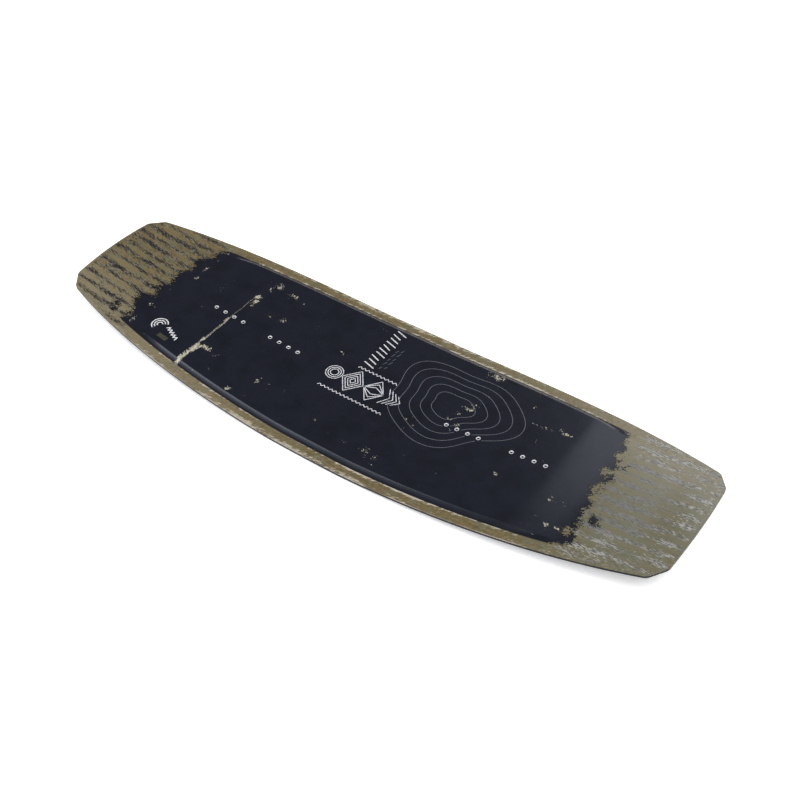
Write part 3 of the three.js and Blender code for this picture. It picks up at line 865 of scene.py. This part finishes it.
def painted_line(path, width):
    """A film of ink along a path, as rings of four points."""
    lengths = np.append(0, np.cumsum(np.hypot(*np.diff(path, axis=0).T)))
    even = np.linspace(0, lengths[-1], math.ceil(lengths[-1] / INK_STEP) + 1)
    along = np.unique(np.round(np.append(lengths, even), 3))
    path = np.column_stack([np.interp(along, lengths, path[:, k]) for k in (0, 1)])
    rings = []
    for run in clear_runs(path):
        heading = np.gradient(run, axis=0)
        heading /= np.linalg.norm(heading, axis=1)[:, None]
        square = np.column_stack([-heading[:, 1], heading[:, 0]]) * width / 2
        corners = []
        for side, lift in ((1, INK_LIFT), (-1, INK_LIFT), (-1, 0), (1, 0)):
            x, y = ((run + side * square) * MM).T
            z = deck_z(x, y, rail_half_width(x) - np.abs(y)) + lift
            corners.append(np.column_stack([x, y, z]))
        rings.append(np.stack(corners, axis=1))
    return rings


def make_lines(name, material, width, paths):
    points = []
    faces = []
    for path in paths:
        for rings in painted_line(np.asarray(path, float), width):
            run_points, run_faces = stack_mesh(rings)
            faces += [[len(points) + v for v in face] for face in run_faces]
            points += list(run_points)
    finish_piece(make_object(name, points, faces), "topsheet", material, "topsheet")


def badge():
    """Three arcs and a zigzag at the tail."""
    arcs = [arc(-482, -115, radius, 30, 250) for radius in (6, 12, 18)]
    return [*arcs, zigzag((-460, -112), (-420, -130), 9, 5)]


def slashes():
    return [[(-31 - 3 * (k % 3), 54 + 13 * k), (-60 + 2 * (k % 2), 62 + 13 * k)] for k in range(10)]


def ornament():
    """Rings, lozenges, a lattice and chevrons in a row between two waves."""
    rings = [arc(-92, 0, radius) for radius in (9, 14, 19)]
    lozenges = [diamond(-44, 0, 27 * k, 34 * k) for k in (1, 0.75, 0.5, 0.25)]
    lattice = [diamond(10, 0, 25, 32 * k) for k in (1, 0.66, 0.33)]
    chevrons = [[(36 + 9 * k, 24 - 3 * k), (50 + 9 * k, 0), (36 + 9 * k, 3 * k - 24)] for k in range(4)]
    waves = [zigzag((-100, -46), (64, -46), 5, 16), zigzag((-60, 42), (40, 42), 5, 10)]
    return rings + lozenges + lattice + chevrons + waves


def contours():
    return [contour(172, 50, 146 * k, 110 * k) for k in (1, 0.83, 0.66, 0.49, 0.32)]


def dashes():
    """Two rows of short strokes beside the slashes."""
    rows = ((-22, 60), (-12, 66))
    return [
        [(x, start + 15 * k), (x + 3, start + 15 * k + 8 + 3 * (k % 2))]
        for x, start in rows
        for k in range(5)
    ]


def make_line_art():
    white = ink_finish("ink_white", linear(204, 204, 206))
    olive = ink_finish("ink_olive", linear(62, 60, 44), fresh=0.6)
    fine = ink_finish("ink_fine", linear(196, 196, 200))
    grey = ink_finish("ink_grey", linear(92, 92, 100), fresh=0.66)
    make_lines("print_bold", white, 2.7, badge() + slashes())
    make_lines("print_label", olive, 11, [[(-463, -140), (-436, -143)]])
    make_lines("print_ornament", fine, 1.9, ornament())
    make_lines("print_faint", grey, 1.2, contours() + dashes())


# ---- Base, sidewalls and tip spacers ----


def make_base(material):
    rail_xs = np.arange(CELL, CORNER_X, 2 * CELL)
    x, y = plan_grid(rail_xs, BASE_OFFSETS + BEVEL_DEPTH, BASE_INNER_LINES, BEVEL_DEPTH)
    inset = BEVEL_DEPTH * (1 - BASE_SHEET / BEVEL_HEIGHT)
    upper_x, upper_y = plan_grid(rail_xs, BASE_OFFSETS + inset, BASE_INNER_LINES, inset)
    top = np.stack([upper_x, upper_y, base_z(upper_x, upper_y) + BASE_SHEET], 2)
    bottom = np.stack([x, y, base_z(x, y)], 2)
    points, faces = sheet_mesh(top, bottom)
    finish_piece(make_object("base_face", points, faces), "base", material, "base_sheet")


def edge_section():
    """The sidewall's section: a flat face over an undercut bevel, with its corners eased."""
    top = EDGE_THICKNESS - SHEET
    eased = 0.4 * MM
    bevel = [(BEVEL_DEPTH * (1 - h / BEVEL_HEIGHT), h) for h in (BASE_SHEET, BEVEL_HEIGHT - eased)]
    return [
        (SIDEWALL_WIDTH, BASE_SHEET),
        *bevel,
        (0.1 * MM, BEVEL_HEIGHT),
        (0, BEVEL_HEIGHT + eased),
        (0, top),
        (SIDEWALL_WIDTH, top),
    ]


def make_sidewall(side, hand, material):
    xs = np.linspace(-SIDEWALL_END, SIDEWALL_END, 321)
    path = np.column_stack([xs, rail_half_width(xs)])
    points, faces = band_mesh(path, edge_section())
    wall = make_object(f"rail_sidewall_{side}", points * (1, hand, 1), faces)
    finish_piece(wall, "sidewall", material, f"sidewall_{side}")


def make_spacer(end, direction, material):
    xs = np.arange(SIDEWALL_END, CORNER_X, 4 * MM)
    half, _, _ = quarter_outline(xs)
    path = np.vstack([half, (half * (1, -1))[-2::-1]])
    points, faces = band_mesh(path, edge_section())
    spacer = make_object(f"tip_edge_{end}", points * (direction, 1, 1), faces)
    finish_piece(spacer, "spacer", material, f"tip_spacer_{end}")


# ---- Hardware ----

INSERT_PROUD = 0.15 * MM
BARREL_RADIUS = 4.75 * MM
FLANGE_RADIUS = 8 * MM
FLANGE_HEIGHT = 2.5 * MM
THREAD_MINOR = 2.5 * MM
THREAD_MAJOR = 3.0 * MM
THREAD_PITCH = 1 * MM
THREAD_DEPTH = 9 * MM
INSERT_LENGTH = 11.5 * MM
TURN_STEPS = 48


def thread_radii(heights):
    """A helical groove: the bore's radius at each height and step round the axis."""
    turn = np.linspace(0, 1, TURN_STEPS, endpoint=False)
    phase = (heights[:, None] / THREAD_PITCH - turn) % 1
    return THREAD_MINOR + (THREAD_MAJOR - THREAD_MINOR) * (1 - np.abs(2 * phase - 1))


def insert_mesh():
    """A turned insert: flange, barrel, eased top ring and a threaded bore."""
    top = INSERT_PROUD
    foot = top - INSERT_LENGTH
    eased = 0.4 * MM
    outside = [
        (0.01 * MM, foot), (FLANGE_RADIUS - eased, foot), (FLANGE_RADIUS, foot + eased),
        (FLANGE_RADIUS, foot + FLANGE_HEIGHT - eased), (FLANGE_RADIUS - eased, foot + FLANGE_HEIGHT),
        (BARREL_RADIUS, foot + FLANGE_HEIGHT + 0.1 * MM), (BARREL_RADIUS, top - 0.35 * MM),
        (BARREL_RADIUS - 0.12 * MM, top - 0.1 * MM), (BARREL_RADIUS - 0.35 * MM, top),
        (THREAD_MAJOR + 0.3 * MM, top), (THREAD_MAJOR + 0.2 * MM, top - 0.08 * MM),
        (THREAD_MAJOR + 0.02 * MM, top - 0.5 * MM),
    ]
    radii = np.array([[r] * TURN_STEPS for r, _ in outside])
    heights = np.array([z for _, z in outside])
    bore = top - 0.7 * MM - np.arange(0, THREAD_DEPTH, THREAD_PITCH / 8)
    bottom = bore[-1] - 0.1 * MM
    radii = np.vstack([radii, thread_radii(bore), np.full((2, TURN_STEPS), THREAD_MINOR)])
    radii[-1] = 0.01 * MM
    return lathe_mesh(radii, np.concatenate([heights, bore, [bottom, bottom - 0.8 * MM]]))


def make_inserts(material):
    points, faces = insert_mesh()
    for name, x in INSERT_X.items():
        piece = make_object(name, points, faces, INSERT_SHARP_ANGLE)
        piece.matrix_world = surface_frame(x, 0, surface_point(x, 0)[2])
        finish_piece(piece, "insert", material, f"binding_{name}")


# ---- Fins ----

FIN_X = 592.5 * MM
FIN_Y = 128 * MM
FIN_HALF = 45 * MM
FIN_DEPTH = 25 * MM
FIN_THICKNESS = 4.6 * MM
BLADE_HALF = 29 * MM
FOOT_HALF_WIDTH = 8 * MM
FOOT_HEIGHT = 3.5 * MM
SEAT_GAP = 0.1 * MM
FOOT_FACE = -SEAT_GAP - FOOT_HEIGHT
SCREW_OFFSET = 35 * MM
HEAD_RADIUS = 3.6 * MM
HEAD_HEIGHT = 1.8 * MM
SHANK_RADIUS = 1.8 * MM
SCREW_REACH = 4.6 * MM
HOLE_GAP = 0.15 * MM
FOOT_CORNER = 5 * MM
ROOT_FLARE = 2.5 * MM
FLARE_FADE = 0.9 * MM
SCREW_PITCH = 0.8 * MM
RECESS = (2.1 * MM, 0.5 * MM, 0.2 * MM)  # half its length, half its width, its corners
RECESS_DEPTH = 1.1 * MM
SCREW_STEPS = 36


def bend(t, start, middle, end):
    return (1 - t) ** 2 * start + 2 * t * (1 - t) * middle + t**2 * end


def blade_mesh():
    """A foil that shortens and thins from a flared root to a rounded tip."""
    root = FOOT_FACE + FOOT_HEIGHT / 2
    tip = FOOT_FACE - FIN_DEPTH
    turn = np.linspace(0, 2 * math.pi, 40, endpoint=False)
    foil = np.sin(turn) * (1 + 0.3 * np.cos(turn)) / 1.05
    rings = []
    for t in 1 - np.linspace(1, 0, 28) ** 1.6:
        z = bend(t, root, tip + 0.1 * FIN_DEPTH, tip)
        down = (FOOT_FACE - z) / FIN_DEPTH
        back = bend(t, -BLADE_HALF, -0.75 * BLADE_HALF, -0.2 * BLADE_HALF)
        front = bend(t, BLADE_HALF, 0.85 * BLADE_HALF, 0.45 * BLADE_HALF)
        rounding = math.sqrt(1 - min(1, max(0, (down - 0.92) / 0.085)) ** 2)
        flare = ROOT_FLARE * math.exp(-max(0, down) * FIN_DEPTH / FLARE_FADE)
        thickness = FIN_THICKNESS * (1 - 0.5 * max(0, down)) * rounding + flare
        x = (front + back) / 2 + (front - back) / 2 * np.cos(turn)
        rings.append(np.column_stack([x, thickness / 2 * foil, np.full_like(x, z)]))
    return stack_mesh(rings)


def rounded_plate(half_x, half_y, radius, layers):
    """A plate with rounded corners: layers of (how far in from the edge, height)."""
    rings = []
    for inset, z in layers:
        ring = []
        for quarter, (sx, sy) in enumerate(((1, 1), (-1, 1), (-1, -1), (1, -1))):
            for turn in np.radians(np.linspace(0, 90, 6) + 90 * quarter):
                x = sx * (half_x - radius) + (radius - inset) * math.cos(turn)
                y = sy * (half_y - radius) + (radius - inset) * math.sin(turn)
                ring.append((x, y, z))
        rings.append(np.array(ring))
    return stack_mesh(rings)


def turned_mesh(profile):
    """A turned solid through (radius, height) points, closed at both ends."""
    radii = np.array([[r] * SCREW_STEPS for r, _ in profile])
    points, _ = lathe_mesh(radii, np.array([z for _, z in profile]))
    return stack_mesh(points.reshape(len(profile), SCREW_STEPS, 3))


def fin_body():
    eased = 0.8 * MM
    layers = [(0.2 * MM, -SEAT_GAP), (0, -SEAT_GAP - 0.2 * MM), (0, FOOT_FACE + eased), (eased, FOOT_FACE)]
    body = make_object("fin_body", *rounded_plate(FIN_HALF, FOOT_HALF_WIDTH, FOOT_CORNER, layers))
    carve(body, make_object("blade", *blade_mesh()), "UNION")
    for along in (-1, 1):
        wide = HEAD_RADIUS + HOLE_GAP
        narrow = SHANK_RADIUS + HOLE_GAP
        seat = FOOT_FACE + 0.2 * MM
        hole = [(wide, FOOT_FACE - 1 * MM), (wide, seat), (narrow, seat + HEAD_HEIGHT), (narrow, 1 * MM)]
        cutter = make_object("screw_hole", *turned_mesh(hole))
        cutter.location.x = along * SCREW_OFFSET
        carve(body, cutter)
    return body


def screw_body():
    """A countersunk screw, head down, with a cross recess."""
    thread = np.arange(FOOT_FACE + HEAD_HEIGHT + 0.3 * MM, SCREW_REACH - 0.4 * MM, 0.1 * MM)
    profile = [
        (0.5 * HEAD_RADIUS, FOOT_FACE + 0.02 * MM),
        (HEAD_RADIUS - 0.2 * MM, FOOT_FACE + 0.02 * MM),
        (HEAD_RADIUS, FOOT_FACE + 0.2 * MM),
        (SHANK_RADIUS, FOOT_FACE + HEAD_HEIGHT),
        *((SHANK_RADIUS * (0.88 + 0.12 * math.sin(z * 2 * math.pi / SCREW_PITCH)), z) for z in thread),
        (0.6 * SHANK_RADIUS, SCREW_REACH),
    ]
    body = make_object("screw_body", *turned_mesh(profile))
    for turn in (0, 90):
        layers = [(0, FOOT_FACE - 1 * MM), (0.15 * MM, FOOT_FACE + RECESS_DEPTH)]
        slot = make_object("recess", *rounded_plate(*RECESS, layers))
        slot.rotation_euler.z = math.radians(turn)
        carve(body, slot)
    return body


def make_fins(plastic, steel):
    """Four fins with two screws each; the inner screw is the one nearer the board's middle."""
    body = fin_body()
    screw = screw_body()
    for end, direction in (("nose", 1), ("tail", -1)):
        for side, hand in (("left", 1), ("right", -1)):
            x, y = direction * FIN_X, hand * FIN_Y
            place = surface_frame(x, y, float(base_z(x, y)))
            if direction < 0:
                place = place @ Matrix.Rotation(math.pi, 4, "Z")
            fin = add_object(f"fin_blade_{end}_{side}", body.data.copy())
            fin.matrix_world = place
            finish_piece(fin, "fin", plastic, f"fin_{end}_{side}")
            for which, along in (("inner", -1), ("outer", 1)):
                bolt = add_object(f"screw_{end}_{side}_{which}", screw.data.copy())
                bolt.matrix_world = place @ Matrix.Translation((along * SCREW_OFFSET, 0, 0))
                finish_piece(bolt, "screw", steel, f"fin_screw_{end}_{side}_{which}")
    bpy.data.objects.remove(body)
    bpy.data.objects.remove(screw)


# ---- Camera, light and floor ----

CAMERA_TARGET = Vector((67.23, 14.02, 10.0)) * MM
CAMERA_DISTANCE = 2511.8 * MM
CAMERA_AZIMUTH = math.radians(38.206)
CAMERA_ELEVATION = math.radians(44.166)
CAMERA_ROLL = math.radians(-2.815)
CAMERA_LENS = 55.24
CAMERA_SENSOR = 36
SKY_WHITE_TO = 0.05  # the height of a direction, 0 level and 1 straight up
SKY_DARK_FROM = 0.45
SKY_DARK = 0.10  # brightness overhead, where the horizon is 1
SUN_FROM = (0.25, -0.25, 0.93)
SUN_SPREAD = math.radians(42)  # a wide, soft source
SUN_STRENGTH = 3.6
SOFTBOX_COLOUR = (0.84, 0.89, 1.0)
# name, place, target, width, height, watts
SOFTBOXES = (
    ("behind", (-0.5, 2.45, 2.2), (0.45, 0.1, 0), 0.9, 1.1, 5.6),
    ("front", (-1.65, -1.95, 1.7), (0, 0, 0), 1.7, 0.9, 17),
    ("front_fill", (-1.7, -1.05, 2.2), (0, -0.2, 0), 1.3, 0.8, 2.6),
)
FLOOR_HALF = 30.0
FLOOR_DROP = 0.5 * MM  # below the fins' tips


def make_camera():
    level = Vector((math.sin(CAMERA_AZIMUTH), -math.cos(CAMERA_AZIMUTH), 0))
    back = level * math.cos(CAMERA_ELEVATION) + Vector((0, 0, math.sin(CAMERA_ELEVATION)))
    camera = add_object("camera", bpy.data.cameras.new("camera"))
    camera.data.lens = CAMERA_LENS
    camera.data.sensor_width = CAMERA_SENSOR
    upright = back.to_track_quat("Z", "Y").to_matrix().to_4x4()
    roll = Matrix.Rotation(CAMERA_ROLL, 4, "Z")
    place = Matrix.Translation(CAMERA_TARGET + back * CAMERA_DISTANCE)
    camera.matrix_world = place @ upright @ roll
    bpy.context.scene.camera = camera


def make_sky():
    """White at the horizon, fading to a dark room overhead, which the gloss of the deck reflects."""
    world = bpy.data.worlds.new("studio")
    world.use_nodes = True
    tree = world.node_tree
    direction = new_value(tree, "TexCoord", {}, "Generated")
    height = new_value(tree, "SeparateXYZ", {0: direction}, "Z")
    brightness = height.rise(SKY_DARK_FROM, SKY_WHITE_TO)
    background = tree.nodes["Background"]
    feed(tree, background.inputs["Color"], brightness * (1 - SKY_DARK) + SKY_DARK)
    background.inputs["Strength"].default_value = 1.0
    bpy.context.scene.world = world


def make_lights():
    bpy.context.scene.view_settings.view_transform = "Standard"
    sun = bpy.data.lights.new("overhead", "SUN")
    sun.angle = SUN_SPREAD
    sun.energy = SUN_STRENGTH
    lamp = add_object("overhead", sun)
    lamp.rotation_euler = Vector(SUN_FROM).to_track_quat("Z", "Y").to_euler()
    for name, place, target, width, height, watts in SOFTBOXES:
        light = bpy.data.lights.new(name, "AREA")
        light.shape = "RECTANGLE"
        light.size = width
        light.size_y = height
        light.energy = watts
        light.color = SOFTBOX_COLOUR
        lamp = add_object(name, light)
        lamp.location = place
        lamp.rotation_euler = (Vector(target) - Vector(place)).to_track_quat("-Z", "Y").to_euler()


def make_floor():
    signs = ((-1, -1), (1, -1), (1, 1), (-1, 1))
    corners = [(x * FLOOR_HALF, y * FLOOR_HALF, -FLOOR_DROP) for x, y in signs]
    floor = make_object("floor", corners, [[0, 1, 2, 3]])
    floor.data.materials.append(floor_finish())


# ---- Pieces inside the board ----


def finish_inner_pieces():
    """The pieces inside the board keep their CAD meshes and take finishes of their own."""
    finishes = {
        "glass": glass_finish(),
        "core": wood_finish("core_wood", linear(214, 188, 140), linear(170, 138, 94), 5),
        "insert_block": wood_finish("block_wood", linear(160, 122, 80), linear(112, 82, 52), 3),
        "fin_insert": metal_finish("brass", linear(200, 168, 96), linear(140, 112, 60)),
    }
    for name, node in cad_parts.items():
        for prefix in finishes:
            if name.startswith(prefix):
                for slot in node.material_slots:
                    slot.link = "OBJECT"
                    slot.material = finishes[prefix]


# ---- Assembly ----

make_camera()
make_sky()
make_lights()
make_floor()
make_deck()
base_plastic = plastic_finish("base_plastic", linear(30, 30, 34), linear(90, 90, 92))
wall_plastic = plastic_finish(
    "wall_plastic", linear(9, 9, 11), linear(96, 94, 90), scuff=(60, 1.2), wear=0.5, shine=0.12
)
make_base(base_plastic)
for side, hand in (("left", 1), ("right", -1)):
    make_sidewall(side, hand, wall_plastic)
for end, direction in (("nose", 1), ("tail", -1)):
    make_spacer(end, direction, wall_plastic)
insert_metal = metal_finish(
    "insert_metal", linear(220, 220, 222), linear(175, 175, 178), metallic=0.4, painted_shade_below=-0.6
)
make_inserts(insert_metal)
make_line_art()
make_fins(
    plastic_finish("fin_plastic", linear(26, 26, 30), linear(110, 110, 112)),
    metal_finish("screw_steel", linear(190, 190, 194), linear(140, 140, 144)),
)
finish_inner_pieces()
